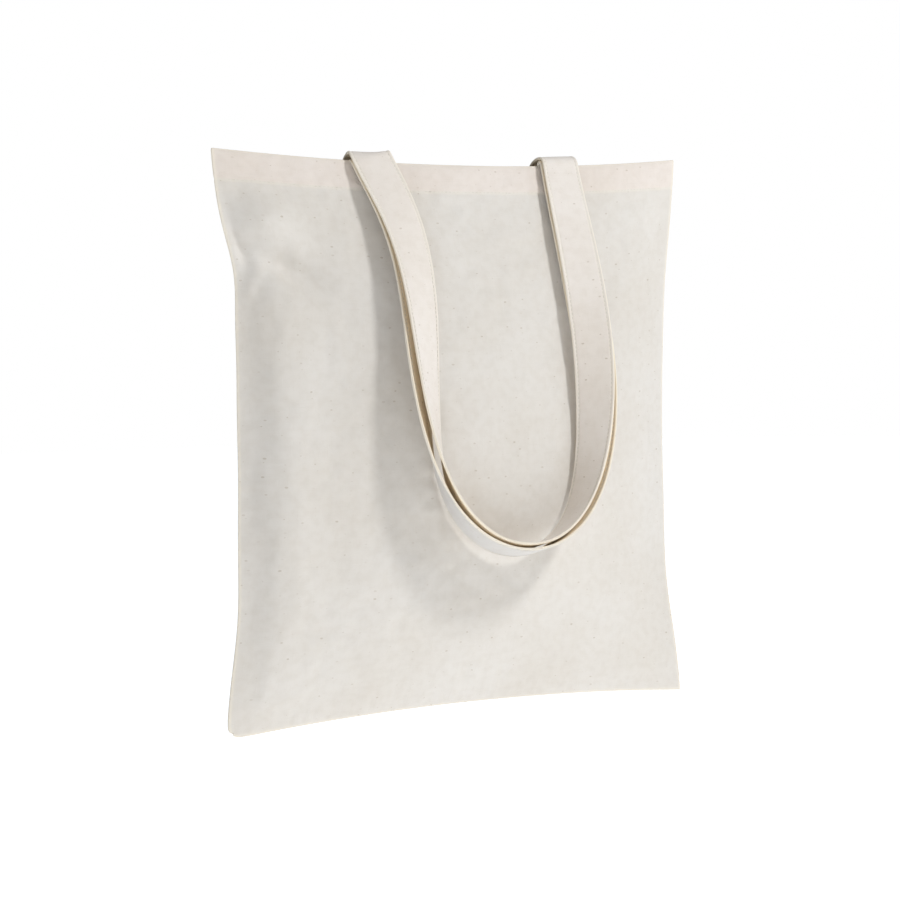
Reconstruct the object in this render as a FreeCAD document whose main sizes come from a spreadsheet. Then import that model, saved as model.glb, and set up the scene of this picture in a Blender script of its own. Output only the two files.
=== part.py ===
# Canvas tote bag: two cotton panels joined at the sides and the bottom, a turned hem round the
# mouth, and two long flat handles that are sewn inside the hems and hang down the front.
# Frame: +X to the right seen from the front, +Y to the back, +Z up; the origin is at the middle
# of the mouth, level with the top corners. Millimetres.
import FreeCAD, Part
import math
import os

import Sketcher
from FreeCAD import Vector

doc = FreeCAD.newDocument("canvas_tote_bag")
sheet = doc.addObject("Spreadsheet::Sheet", "sizes")

DRIVING = {
    # cloth and seams
    "cloth": 0.6,                # one layer of canvas
    "seam_line": 0.0,            # the seams' insets are measured from here
    "seam_depth": 10.0,          # raw edges inside the side and bottom seams
    "overlock_depth": 1.4,       # bead of thread round those raw edges
    "thread": 0.3,               # a sewing thread standing on the cloth
    "thread_clearance": 0.12,    # under the rows of thread that follow a handle
    "stitch_width": 0.6,
    # hem round the mouth
    "hem_depth": 23.0,
    "hem_sag": 10.0,             # the hem's middle hangs this far below its corners
    "hem_end_gap": 15.0,         # the turned layers stop short of the side seams
    "hem_stitch_inset": 1.8,
    "mouth_edge": 0.0,           # depths are measured from here
    "beyond_sides": 200.0,       # half a width that takes in the whole panel
    # handles
    "handle_width": 30.0,
    "handle_thickness": 2.0,
    "handle_centre": 76.0,       # from the middle of the bag to the middle of a handle's end
    "handle_stitch_inset": 2.5,
    "tab_inset": 1.0,            # from the hem's top edge to the sewn end's top
    "tab_depth": 21.0,
    "box_stitch_inset": 3.0,
    "hinge_height": -5.7,        # where the handles fold over the hems
    "front_hinge_y": -14.6,
    "back_hinge_y": 4.6,
    "fold_lead": 3.6,            # the front handle's pull towards its leg at the end of the fold
    "top_fold_lead": 8.0,        # the same for the back handle, which lies on top of it
    "top_fold_reach": 7.0,       # and how far it sets off forwards
    "top_fold_rise": 5.4,        # and upwards
    "top_slant_from": 0.6,       # share of its fold after which it turns into the leg's slant
    # the loops that hang in front
    "leg_start_y": -19.2,
    "leg_start_z": -8.6,
    "loop_lean": 17.0,           # the loops' lowest point, right of the middle
    "loop_drop": 292.0,
    "loop_stand_off": 71.0,      # the lowest point, in front of the side seams
    "loop_twist": 105.0,         # degrees, from flat on the panel to edge on
    "loop_twist_growth": 1.6,    # power of the way down that the turning follows
    "loop_gap": 3.9,             # between the two handles' middle surfaces where they lie together
    "loop_spread": 3.0,          # and how much more half way down
}

# What pulls each leg's curve between its start at the hem and the loop's lowest point: three
# free points, and the x of a fourth that is level with the lowest point.
LEGS = {
    "left": {"upper_x": -63.0, "upper_y": -37.5, "upper_z": -51.0,
             "middle_x": -27.5, "middle_y": -58.5, "middle_z": -111.0,
             "lower_x": -100.5, "lower_y": -75.0, "lower_z": -187.0, "last_x": -53.0},
    "right": {"upper_x": 76.0, "upper_y": -42.0, "upper_z": -75.5,
              "middle_x": 83.5, "middle_y": -66.0, "middle_z": -140.0,
              "lower_x": 102.0, "lower_y": -55.0, "lower_z": -213.0, "last_x": 79.5},
}
LEG_SIGNS = {"left": -1, "right": 1}

# The bag's level sections, from the mouth down: how far below the top corners, half the width,
# and how far the front and back panels stand out from the side seams.
LEVELS = {
    "mouth": (0.0, 190.0, 16.0, 4.0),
    "neck": (36.0, 186.0, 25.0, 10.0),
    "shoulder": (80.0, 180.0, 40.0, 27.0),
    "chest": (150.0, 176.0, 51.0, 39.0),
    "middle": (230.0, 175.0, 54.0, 42.0),
    "belly": (310.0, 178.0, 46.0, 36.0),
    "knee": (370.0, 183.0, 29.0, 24.0),
    "foot": (405.0, 187.0, 11.0, 10.0),
    "bottom": (420.0, 188.5, 1.0, 1.0),
}
FIELDS = ("down", "half_width", "front", "back")


def fill_sheet():
    values = dict(DRIVING)
    for level, numbers in LEVELS.items():
        for field, number in zip(FIELDS, numbers):
            values[f"{level}_{field}"] = number
    for leg, numbers in LEGS.items():
        for field, number in numbers.items():
            values[f"{leg}_leg_{field}"] = number
    for row, (alias, number) in enumerate(values.items(), start=1):
        sheet.set(f"A{row}", alias.replace("_", " "))
        sheet.set(f"B{row}", str(number))
        sheet.setAlias(f"B{row}", alias)
    doc.recompute()


def size(alias):
    return float(sheet.get(alias))


def cell(text):
    """An expression in which every word in braces is a cell of the sheet."""
    return text.replace("{", "sizes.").replace("}", "")


def origin_plane(body, role):
    return next(plane for plane in body.Origin.OriginFeatures if plane.Role == role)


def new_body(name):
    body = doc.addObject("PartDesign::Body", name)
    body.Label = name
    return body


def new_sketch(body, name, role):
    sketch = body.newObject("Sketcher::SketchObject", name)
    sketch.AttachmentSupport = [(origin_plane(body, role), "")]
    sketch.MapMode = "FlatFace"
    return sketch


def bind(sketch, constraint, expression):
    """Adds a driving constraint and ties it to the sheet."""
    index = sketch.addConstraint(constraint)
    sketch.setExpression(f"Constraints[{index}]", cell(expression))


# ---------------------------------------------------------------- shells that follow the panels

def crown_arc(sketch, half_width, crown, offset, side, level, field, lift):
    """A shallow arc from side seam to side seam; side is -1 for the front, +1 for the back."""
    radius = (half_width ** 2 + crown ** 2) / (2 * crown)
    centre = Vector(0, side * (offset + crown - radius), 0)
    reach = math.asin(half_width / radius)
    middle = math.radians(90 * side)
    circle = Part.Circle(centre, Vector(0, 0, 1), radius)
    arc = sketch.addGeometry(Part.ArcOfCircle(circle, middle - reach, middle + reach))
    half = f"{{{level}_half_width}}"
    high = f"{{{level}_{field}}}"
    sketch.addConstraint(Sketcher.Constraint("PointOnObject", arc, 3, -2))
    bind(sketch, Sketcher.Constraint("Radius", arc, radius),
         f"({half} ^ 2 + {high} ^ 2) / (2 * {high})")
    first_x = side * half_width
    bind(sketch, Sketcher.Constraint("DistanceX", -1, 1, arc, 1, first_x), f"{side} * {half}")
    bind(sketch, Sketcher.Constraint("DistanceY", -1, 1, arc, 1, side * offset), f"{side} * ({lift})")
    bind(sketch, Sketcher.Constraint("DistanceX", -1, 1, arc, 2, -first_x), f"-{side} * {half}")
    return arc, first_x


def crown_section(body, name, level, side, inner, outer):
    """One level's closed strip between two crown arcs; inner and outer are expressions."""
    field = "front" if side < 0 else "back"
    sketch = new_sketch(body, f"{name}_{level}", "XY_Plane")
    sketch.setExpression("AttachmentOffset.Base.z", cell(f"-{{{level}_down}}"))
    half_width = size(f"{level}_half_width")
    crown = size(f"{level}_{field}")
    near, first_x = crown_arc(sketch, half_width, crown, plain(inner), side, level, field, inner)
    far, _ = crown_arc(sketch, half_width, crown, plain(outer), side, level, field, outer)
    for point, x in ((1, first_x), (2, -first_x)):
        start = Vector(x, side * plain(inner), 0)
        end = Vector(x, side * plain(outer), 0)
        line = sketch.addGeometry(Part.LineSegment(start, end))
        sketch.addConstraint(Sketcher.Constraint("Coincident", line, 1, near, point))
        sketch.addConstraint(Sketcher.Constraint("Coincident", line, 2, far, point))
    return sketch


def plain(expression):
    """The number that a sheet expression of sums and products stands for."""
    total = 0.0
    for term in expression.replace("- ", "+ -").split("+ "):
        product = 1.0
        for factor in term.strip().split(" * "):
            sign = -1.0 if factor.startswith("-") else 1.0
            word = factor.lstrip("-")
            product *= sign * (size(word.strip("{}")) if word.startswith("{") else float(word))
        total += product
    return total


def sag_radius():
    half = size("mouth_half_width")
    sag = size("hem_sag")
    return (half ** 2 + sag ** 2) / (2 * sag)


SAG_RADIUS = "({mouth_half_width} ^ 2 + {hem_sag} ^ 2) / (2 * {hem_sag})"
WASTE = 600.0                    # half the size of what is cut away round a window
WASTE_MARGIN = 50.0


def keep_window(body, name, top, foot, left, right):
    """Cuts away all that is outside a window whose top and foot follow the hem's sag.

    top and foot are expressions for the depth below the mouth's edge, left and right for x;
    a foot of None leaves the piece its full height."""
    sketch = new_sketch(body, f"{name}_window", "XZ_Plane")
    corners = [(-WASTE, -WASTE), (WASTE, -WASTE), (WASTE, WASTE), (-WASTE, WASTE)]
    rim = []
    for start, end in zip(corners, corners[1:] + corners[:1]):
        rim.append(sketch.addGeometry(Part.LineSegment(Vector(*start, 0), Vector(*end, 0))))
    for piece, following, corner in zip(rim, rim[1:] + rim[:1], corners[1:] + corners[:1]):
        sketch.addConstraint(Sketcher.Constraint("Coincident", piece, 2, following, 1))
        sketch.addConstraint(Sketcher.Constraint("DistanceX", -1, 1, piece, 2, corner[0]))
        sketch.addConstraint(Sketcher.Constraint("DistanceY", -1, 1, piece, 2, corner[1]))
    centre_z = sag_radius() - size("hem_sag")
    x_left, x_right = plain(left), plain(right)

    def sagging(depth):
        radius = sag_radius() + plain(depth)
        start = math.atan2(-math.sqrt(radius ** 2 - x_left ** 2), x_left)
        end = math.atan2(-math.sqrt(radius ** 2 - x_right ** 2), x_right)
        circle = Part.Circle(Vector(0, centre_z, 0), Vector(0, 0, 1), radius)
        arc = sketch.addGeometry(Part.ArcOfCircle(circle, start, end))
        sketch.addConstraint(Sketcher.Constraint("PointOnObject", arc, 3, -2))
        bind(sketch, Sketcher.Constraint("DistanceY", -1, 1, arc, 3, centre_z),
             f"{SAG_RADIUS} - {{hem_sag}}")
        bind(sketch, Sketcher.Constraint("Radius", arc, radius), f"{SAG_RADIUS} + {depth}")
        bind(sketch, Sketcher.Constraint("DistanceX", -1, 1, arc, 1, x_left), left)
        bind(sketch, Sketcher.Constraint("DistanceX", -1, 1, arc, 2, x_right), right)
        points = [Vector(x, centre_z - math.sqrt(radius ** 2 - x ** 2), 0) for x in (x_left, x_right)]
        return arc, points

    upper, upper_points = sagging(top)
    if foot is None:
        low = WASTE_MARGIN - WASTE
        foot_points = [Vector(x_left, low, 0), Vector(x_right, low, 0)]
        lower = sketch.addGeometry(Part.LineSegment(*foot_points))
        bind(sketch, Sketcher.Constraint("DistanceX", -1, 1, lower, 1, x_left), left)
        bind(sketch, Sketcher.Constraint("DistanceX", -1, 1, lower, 2, x_right), right)
        sketch.addConstraint(Sketcher.Constraint("DistanceY", -1, 1, lower, 1, low))
        sketch.addConstraint(Sketcher.Constraint("DistanceY", -1, 1, lower, 2, low))
    else:
        lower, foot_points = sagging(foot)
    for point in (1, 2):
        ends = (upper_points[point - 1], foot_points[point - 1])
        side = sketch.addGeometry(Part.LineSegment(*ends))
        sketch.addConstraint(Sketcher.Constraint("Coincident", side, 1, upper, point))
        sketch.addConstraint(Sketcher.Constraint("Coincident", side, 2, lower, point))
    pocket = body.newObject("PartDesign::Pocket", f"{name}_cut")
    pocket.Profile = sketch
    pocket.Type = "ThroughAll"
    pocket.Midplane = True
    sketch.Visibility = False
    doc.recompute()


def shell_piece(name, side, inner, outer, levels, top, foot, left, right):
    """A layer that follows a panel, from inner to outer, cut to a window."""
    body = new_body(name)
    sections = [crown_section(body, name, level, side, inner, outer) for level in levels]
    loft = body.newObject("PartDesign::AdditiveLoft", f"{name}_loft")
    loft.Profile = sections[0]
    loft.Sections = sections[1:]
    loft.Ruled = True
    doc.recompute()
    keep_window(body, name, top, foot, left, right)
    return body


SIDES = {"front": -1, "back": 1}
HEM_LEVELS = ("mouth", "neck")
HEM_LEFT = "-{mouth_half_width} + {hem_end_gap}"
HEM_RIGHT = "{mouth_half_width} - {hem_end_gap}"
SEAM = "{cloth}"                 # a panel starts one layer off the plane of the side seams


def make_panel(face):
    shell_piece(f"{face}_panel", SIDES[face], SEAM, "{cloth} * 2", tuple(LEVELS),
                "{mouth_edge}", None, "-{beyond_sides}", "{beyond_sides}")


def make_hem(face):
    """The two layers turned to the inside; the panel itself is the third."""
    shell_piece(f"{face}_hem", SIDES[face], "-{cloth}", SEAM, HEM_LEVELS,
                "{mouth_edge}", "{hem_depth}", HEM_LEFT, HEM_RIGHT)


def make_hem_stitching(face):
    shell_piece(f"{face}_hem_stitching", SIDES[face], "{cloth} * 2", "{cloth} * 2 + {thread}",
                HEM_LEVELS, "{hem_depth} - {hem_stitch_inset} - {stitch_width}",
                "{hem_depth} - {hem_stitch_inset}", HEM_LEFT, HEM_RIGHT)


def make_tab(face, side_name):
    """A handle's sewn end, flat on the inside of the hem."""
    sign = LEG_SIGNS[side_name]
    left = f"{sign} * {{handle_centre}} - 0.5 * {{handle_width}}"
    right = f"{sign} * {{handle_centre}} + 0.5 * {{handle_width}}"
    shell_piece(f"{face}_handle_tab_{side_name}", SIDES[face], "-{cloth} - {handle_thickness}",
                "-{cloth}", HEM_LEVELS, "{tab_inset}", "{tab_inset} + {tab_depth}", left, right)


# ---------------------------------------------------------------- seam allowances inside the bag

def seam_strip(name, sign, near, far):
    """A flat strip along a side seam, from near to far inwards of the bag's edge."""
    body = new_body(name)
    sketch = new_sketch(body, f"{name}_outline", "XZ_Plane")
    corners = [(level, near) for level in LEVELS] + [(level, far) for level in reversed(LEVELS)]

    def corner_at(corner):
        level, inset = corner
        x = sign * (size(f"{level}_half_width") - plain(inset))
        return Vector(x, -size(f"{level}_down"), 0)

    lines = []
    for start, end in zip(corners, corners[1:] + corners[:1]):
        lines.append(sketch.addGeometry(Part.LineSegment(corner_at(start), corner_at(end))))
    for line, following, (level, inset) in zip(lines[-1:] + lines[:-1], lines, corners):
        sketch.addConstraint(Sketcher.Constraint("Coincident", line, 2, following, 1))
        spot = corner_at((level, inset))
        bind(sketch, Sketcher.Constraint("DistanceX", -1, 1, following, 1, spot.x),
             f"{sign} * ({{{level}_half_width}} - ({inset}))")
        bind(sketch, Sketcher.Constraint("DistanceY", -1, 1, following, 1, spot.y),
             f"-{{{level}_down}}")
    pad_both_ways(body, name, sketch, "{cloth} * 2")


def bottom_strip(name, low, high):
    """A flat strip along the bottom seam, between the two side strips."""
    body = new_body(name)
    sketch = new_sketch(body, f"{name}_outline", "XZ_Plane")
    reach = "{foot_half_width} - {seam_depth} - {overlock_depth} - {cloth}"
    width = size("foot_half_width") - plain("{seam_depth} + {overlock_depth} + {cloth}")
    heights = [plain(low) - size("bottom_down"), plain(high) - size("bottom_down")]
    corners = [(-1, 0), (1, 0), (1, 1), (-1, 1)]
    points = [Vector(sign * width, heights[row], 0) for sign, row in corners]
    pairs = zip(points, points[1:] + points[:1])
    lines = [sketch.addGeometry(Part.LineSegment(*pair)) for pair in pairs]
    for line, following, (sign, row), point in zip(lines[-1:] + lines[:-1], lines, corners, points):
        sketch.addConstraint(Sketcher.Constraint("Coincident", line, 2, following, 1))
        bind(sketch, Sketcher.Constraint("DistanceX", -1, 1, following, 1, point.x),
             f"{sign} * ({reach})")
        bind(sketch, Sketcher.Constraint("DistanceY", -1, 1, following, 1, point.y),
             f"{high if row else low} - {{bottom_down}}")
    pad_both_ways(body, name, sketch, "{cloth} * 2")


def pad_both_ways(body, name, sketch, length):
    pad = body.newObject("PartDesign::Pad", f"{name}_pad")
    pad.Profile = sketch
    pad.Midplane = True
    pad.setExpression("Length", cell(length))
    sketch.Visibility = False
    doc.recompute()


# ---------------------------------------------------------------- the handles' hanging loops

def smooth_step(value):
    value = min(max(value, 0.0), 1.0)
    return value * value * (3 - 2 * value)


def bezier(points, u):
    """A point and its direction on a Bezier curve of any degree."""
    degree = len(points) - 1
    place = Vector()
    direction = Vector()
    for k, point in enumerate(points):
        place += point * (math.comb(degree, k) * (1 - u) ** (degree - k) * u ** k)
    for k in range(degree):
        weight = degree * math.comb(degree - 1, k) * (1 - u) ** (degree - 1 - k) * u ** k
        direction += (points[k + 1] - points[k]) * weight
    return place, direction.normalize()


def leg_route(leg):
    """What draws the middle line of one leg, from just in front of the hem to the lowest point."""
    stand_off = size("loop_stand_off")
    drop = size("loop_drop")

    def pull(point):
        return Vector(*(size(f"{leg}_leg_{point}_{axis}") for axis in "xyz"))

    return [
        Vector(LEG_SIGNS[leg] * size("handle_centre"), size("leg_start_y"), size("leg_start_z")),
        pull("upper"),
        pull("middle"),
        pull("lower"),
        Vector(size(f"{leg}_leg_last_x"), -stand_off, -drop),
        Vector(size("loop_lean"), -stand_off, -drop),
    ]


def leg_frames(leg, lies_on_top, count=30):
    """Places along one leg, each with its width, facing and forward directions."""
    route = leg_route(leg)
    frames = []
    for step in range(count + 1):
        u = step / count
        place, along = bezier(route, u)
        forward = Vector(0, -1, 0)
        facing = (forward - along * along.dot(forward)).normalize()
        across = facing.cross(along).normalize() * LEG_SIGNS[leg]
        down = (place.z - route[0].z) / (route[-1].z - route[0].z)
        turn = math.radians(size("loop_twist")) * down ** size("loop_twist_growth")
        face = facing * math.cos(turn) - across * math.sin(turn)
        wide = across * math.cos(turn) + facing * math.sin(turn)
        if lies_on_top:
            gap = size("loop_gap") + size("loop_spread") * math.sin(math.pi * u) ** 2
            place = place + face * gap
        frames.append((place, wide, face, along))
    return frames


def fold_frames(leg, lies_on_top, first, count=12):
    """The stretch from the hinge over the hem to the leg's first frame.

    The upper handle turns into the leg's slant later than the lower one, to clear it."""
    place, wide, _, along = first
    x = LEG_SIGNS[leg] * size("handle_centre")
    if lies_on_top:
        start = Vector(x, size("back_hinge_y"), size("hinge_height"))
        setting_off = Vector(0, -size("top_fold_reach"), size("top_fold_rise"))
        route = [start, start + setting_off, place - along * size("top_fold_lead"), place]
        slant_from = size("top_slant_from")
    else:
        start = Vector(x, size("front_hinge_y"), size("hinge_height"))
        route = [start, place - along * size("fold_lead"), place]
        slant_from = 0.0
    route[-2].x = x
    frames = []
    for step in range(count):
        share = step / count
        spot, heading = bezier(route, share)
        slant = smooth_step((share - slant_from) / (1 - slant_from))
        side = Vector(LEG_SIGNS[leg], 0, 0) * (1 - slant) + wide * slant
        up = heading.cross(side).normalize()
        if up.z < 0:
            up = -up
        frames.append((spot, side.normalize(), up, heading))
    return frames


def loop_frames(lies_on_top):
    """The whole loop from its left fold to its right fold, its width always turned one way."""
    halves = {}
    for leg in LEGS:
        hanging = leg_frames(leg, lies_on_top)
        halves[leg] = fold_frames(leg, lies_on_top, hanging[0]) + hanging
    return halves["left"] + halves["right"][-2::-1]


SAME_WAY = 1                     # ruled surfaces join their edges start to start


def ribbon(frames, low_edge, high_edge, low_face, high_face):
    """A closed strip along the frames; the limits are measured across and off the middle."""
    corners = ((low_edge, low_face), (high_edge, low_face),
               (high_edge, high_face), (low_edge, high_face))
    lengths = [0.0]
    for before, after in zip(frames, frames[1:]):
        lengths.append(lengths[-1] + (after[0] - before[0]).Length)
    edges = []
    for across, off in corners:
        points = [place + wide * across + face * off for place, wide, face, _ in frames]
        curve = Part.BSplineCurve()
        curve.interpolate(Points=points, Parameters=lengths)
        edges.append(curve.toShape())
    pairs = zip(edges, edges[1:] + edges[:1])
    faces = [Part.makeRuledSurface(edge, following, SAME_WAY) for edge, following in pairs]
    for end in (0, -1):
        rim = [edge.Vertexes[end].Point for edge in edges]
        faces.append(Part.Face(Part.makePolygon(rim + rim[:1])))
    shell = Part.makeShell(faces)
    shell.sewShape()
    solid = Part.makeSolid(shell)
    if solid.Volume < 0:
        solid.reverse()
    return solid


def add_feature(name, shape):
    feature = doc.addObject("Part::Feature", name)
    feature.Label = name
    feature.Shape = shape
    feature.Placement = FreeCAD.Placement()


def make_loop(face):
    frames = loop_frames(face == "back")
    half_width = size("handle_width") / 2
    half_thickness = size("handle_thickness") / 2
    web = ribbon(frames, -half_width, half_width, -half_thickness, half_thickness)
    add_feature(f"{face}_handle", web)
    inset = half_width - size("handle_stitch_inset")
    width = size("stitch_width")
    foot = half_thickness + size("thread_clearance")
    rows = []
    for low, high in ((-inset, -inset + width), (inset - width, inset)):
        rows.append(ribbon(frames, low, high, foot, foot + size("thread")))
    add_feature(f"{face}_handle_edge_stitching", Part.makeCompound(rows))


# ---------------------------------------------------------------- box stitches on the tabs

def hem_point(side, off, x, depth):
    """A point off the hem's surface, depth below the sagging mouth edge."""
    z = sag_radius() - size("hem_sag") - math.sqrt((sag_radius() + depth) ** 2 - x ** 2)
    share = -z / size("neck_down")
    field = "front" if side < 0 else "back"

    def crown_at(level):
        half = size(f"{level}_half_width")
        crown = size(f"{level}_{field}")
        radius = (half ** 2 + crown ** 2) / (2 * crown)
        return math.sqrt(radius ** 2 - x ** 2) - (radius - crown)

    crown = crown_at("mouth") * (1 - share) + crown_at("neck") * share
    return Vector(x, side * (crown + off), z)


def stitch_line(side, off, start, end):
    """One straight row of thread between two (x, depth) points."""
    a = hem_point(side, off, *start)
    b = hem_point(side, off, *end)
    along = (b - a).normalize()
    out = Vector(0, side, 0)
    wide = along.cross(out).normalize() * (size("stitch_width") / 2)
    rim = [a + wide, a - wide, b - wide, b + wide, a + wide]
    thick = out * size("thread")
    return Part.Face(Part.makePolygon(rim)).extrude(-thick)


def make_box_stitch(face, side_name):
    """A box and a cross, on the tab's inner face."""
    side = SIDES[face]
    middle = size("handle_centre") * LEG_SIGNS[side_name]
    half = size("handle_width") / 2 - size("box_stitch_inset")
    top = size("tab_inset") + size("box_stitch_inset")
    foot = size("tab_inset") + size("tab_depth") - size("box_stitch_inset")
    off = -size("cloth") - size("handle_thickness") - size("thread_clearance")
    gap = size("stitch_width")
    left, right = middle - half, middle + half
    rows = [
        ((left + gap, top), (right - gap, top)),
        ((left + gap, foot), (right - gap, foot)),
        ((left, top), (left, foot)),
        ((right, top), (right, foot)),
        ((left + 2 * gap, top + 2 * gap), (middle - gap, (top + foot) / 2 - gap)),
        ((middle + gap, (top + foot) / 2 + gap), (right - 2 * gap, foot - 2 * gap)),
        ((left + 2 * gap, foot - 2 * gap), (right - 2 * gap, top + 2 * gap)),
    ]
    shapes = [stitch_line(side, off, start, end) for start, end in rows]
    add_feature(f"{face}_box_stitch_{side_name}", Part.makeCompound(shapes))


def build():
    fill_sheet()
    for face in SIDES:
        make_panel(face)
        make_hem(face)
        make_hem_stitching(face)
        for leg in LEGS:
            make_tab(face, leg)
            make_box_stitch(face, leg)
        make_loop(face)
    raw_edge = "{seam_depth} + {overlock_depth}"
    for side_name, sign in LEG_SIGNS.items():
        seam_strip(f"{side_name}_seam_allowance", sign, "{seam_line}", "{seam_depth}")
        seam_strip(f"{side_name}_seam_stitching", sign, "{seam_depth}", raw_edge)
    bottom_strip("bottom_seam_allowance", "{seam_line}", "{seam_depth}")
    bottom_strip("bottom_seam_stitching", "{seam_depth}", raw_edge)
    doc.recompute()


def check_and_write():
    for item in doc.Objects:
        if {"Invalid", "Error"} & set(item.State):
            raise RuntimeError(f"{item.Label} failed: {item.State}")
    pieces = [item for item in doc.Objects if item.TypeId in ("PartDesign::Body", "Part::Feature")]
    for piece in pieces:
        if piece.Shape.isNull() or not piece.Shape.isValid() or piece.Shape.Volume <= 0:
            raise RuntimeError(f"{piece.Label} has no sound shape")
    os.makedirs("parts", exist_ok=True)
    for piece in pieces:
        piece.Shape.exportStep(f"parts/{piece.Label}.step")
        box = piece.Shape.BoundBox
        print(f"{piece.Label}: {piece.Shape.Volume:.0f} mm3, {len(piece.Shape.Solids)} solids,"
              f" x {box.XMin:.1f}..{box.XMax:.1f} y {box.YMin:.1f}..{box.YMax:.1f}"
              f" z {box.ZMin:.1f}..{box.ZMax:.1f}")


build()
check_and_write()
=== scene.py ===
"""Canvas tote bag: simulated cotton panels, a turned hem, stitched seams and two folded handles.

Metres. X runs to the right, Y to the back, Z up; the bag's front is at -Y.
"""
import math

import bmesh
import bpy
import numpy as np
from mathutils import Matrix, Vector


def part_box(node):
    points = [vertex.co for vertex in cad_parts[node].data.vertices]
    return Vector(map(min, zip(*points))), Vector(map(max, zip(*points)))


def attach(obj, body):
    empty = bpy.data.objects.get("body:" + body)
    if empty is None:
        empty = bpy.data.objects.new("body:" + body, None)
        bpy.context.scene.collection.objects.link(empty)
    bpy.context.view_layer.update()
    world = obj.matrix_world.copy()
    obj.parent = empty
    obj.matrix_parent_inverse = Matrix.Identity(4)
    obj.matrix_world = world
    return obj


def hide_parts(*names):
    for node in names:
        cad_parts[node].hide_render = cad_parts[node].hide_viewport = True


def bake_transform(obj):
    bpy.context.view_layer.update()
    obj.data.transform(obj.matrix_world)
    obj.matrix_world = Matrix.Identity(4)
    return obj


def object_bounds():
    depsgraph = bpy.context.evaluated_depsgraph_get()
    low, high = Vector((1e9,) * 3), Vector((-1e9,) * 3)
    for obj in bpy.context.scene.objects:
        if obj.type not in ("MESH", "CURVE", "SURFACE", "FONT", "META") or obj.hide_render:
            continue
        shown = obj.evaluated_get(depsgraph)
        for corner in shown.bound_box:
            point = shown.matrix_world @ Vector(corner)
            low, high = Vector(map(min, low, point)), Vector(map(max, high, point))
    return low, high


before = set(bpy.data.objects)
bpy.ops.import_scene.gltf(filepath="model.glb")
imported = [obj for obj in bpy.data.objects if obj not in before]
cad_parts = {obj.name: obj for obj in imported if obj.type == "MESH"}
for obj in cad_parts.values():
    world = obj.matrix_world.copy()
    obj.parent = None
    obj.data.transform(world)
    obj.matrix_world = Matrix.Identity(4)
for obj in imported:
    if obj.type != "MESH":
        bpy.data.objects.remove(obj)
cad_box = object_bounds()

MM = 0.001
CLOTH = 0.6 * MM                     # one layer of canvas
SEAM_ROLL = 1.2 * MM                 # the panels curl round this radius into their seams
SEAM_DEPTH = 10 * MM                 # how far the raw edges stand into the bag
HEM_DEPTH = 23 * MM
HEM_STITCH = 21.2 * MM               # the hem's row of thread, down from the mouth
HEM_INSET = 2 * MM                   # the turned layers end this far short of the panel's sides
HEM_INSIDE = 0.6 * MM                # the turned layers' inner face, in from the panel's own surface
WEB_WIDTH = 30 * MM
WEB_HALF = 1.0 * MM                  # half a handle's thickness
HANDLE_X = 76 * MM                   # the handles are sewn on here, either side of the middle

panel_low, panel_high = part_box("front_panel")
PANEL_W = panel_high.x - panel_low.x - 2 * SEAM_ROLL
PANEL_H = panel_high.z - panel_low.z - SEAM_ROLL


# ---------------------------------------------------------------- small helpers

def smooth_step(t):
    t = np.clip(t, 0.0, 1.0)
    return t * t * (3 - 2 * t)


def unit(vectors):
    return vectors / np.maximum(np.linalg.norm(vectors, axis=-1, keepdims=True), 1e-12)


def bump(x, centre, width):
    """A soft hill one high at centre."""
    return np.exp(-((x - centre) / width) ** 2)


def lengths(points):
    """How far along a line of points each one is."""
    return np.concatenate([[0], np.cumsum(np.linalg.norm(np.diff(points, axis=0), axis=1))])


def new_piece(name, vertices, faces, attributes=(), sharp=60):
    """A smooth-shaded mesh object with its outward normals settled."""
    mesh = bpy.data.meshes.new(name)
    mesh.from_pydata(vertices.tolist(), [], faces)
    for key, values in attributes:
        values = np.asarray(values, np.float32)
        if values.ndim == 2:
            mesh.attributes.new(key, "FLOAT_VECTOR", "POINT").data.foreach_set("vector", values.ravel())
        else:
            mesh.attributes.new(key, "FLOAT", "POINT").data.foreach_set("value", values)
    shape = bmesh.new()
    shape.from_mesh(mesh)
    bmesh.ops.recalc_face_normals(shape, faces=shape.faces)
    shape.to_mesh(mesh)
    shape.free()
    mesh.shade_smooth()
    mesh.set_sharp_from_angle(angle=math.radians(sharp))
    piece = bpy.data.objects.new(name, mesh)
    bpy.context.scene.collection.objects.link(piece)
    return piece


def slab(name, near, far, cloth_at, wear, tone):
    """A closed sheet between two grids of the same size, with its cloth coordinates, wear and tone."""
    rows, columns = near.shape[:2]
    count = rows * columns
    index = np.arange(count).reshape(rows, columns)
    quads = np.stack([index[:-1, :-1], index[1:, :-1], index[1:, 1:], index[:-1, 1:]], -1).reshape(-1, 4)
    rim = np.concatenate([index[0, :], index[1:, -1], index[-1, -2::-1], index[-2:0:-1, 0]])
    after = np.roll(rim, -1)
    sides = np.stack([rim, after, after + count, rim + count], -1)
    faces = np.concatenate([quads, quads[:, ::-1] + count, sides]).tolist()
    vertices = np.concatenate([near.reshape(-1, 3), far.reshape(-1, 3)])
    both = [("cloth_at", np.concatenate([cloth_at.reshape(-1, 3)] * 2)),
            ("wear", np.concatenate([wear.ravel()] * 2)),
            ("tone", np.concatenate([tone.ravel()] * 2))]
    return new_piece(name, vertices, faces, both)


# ---------------------------------------------------------------- the panels' cloth

COLUMNS, ROWS, FINER = 48, 53, 4     # the simulated grid, and how finely it is split afterwards
SETTLE_FRAMES = 40
FULLEST = 0.52                       # how far down the bag is deepest, as a share
DRAWN_IN = 13.5 * MM                 # how far its sides start inside the mouth's width
MOUTH_SAG = 10 * MM
# How far each panel stands out from the seams at the mouth and at its fullest, and which way.
STAND_OUT = {"front": (16 * MM, 54 * MM, -1), "back": (4 * MM, 42 * MM, 1)}


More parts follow.
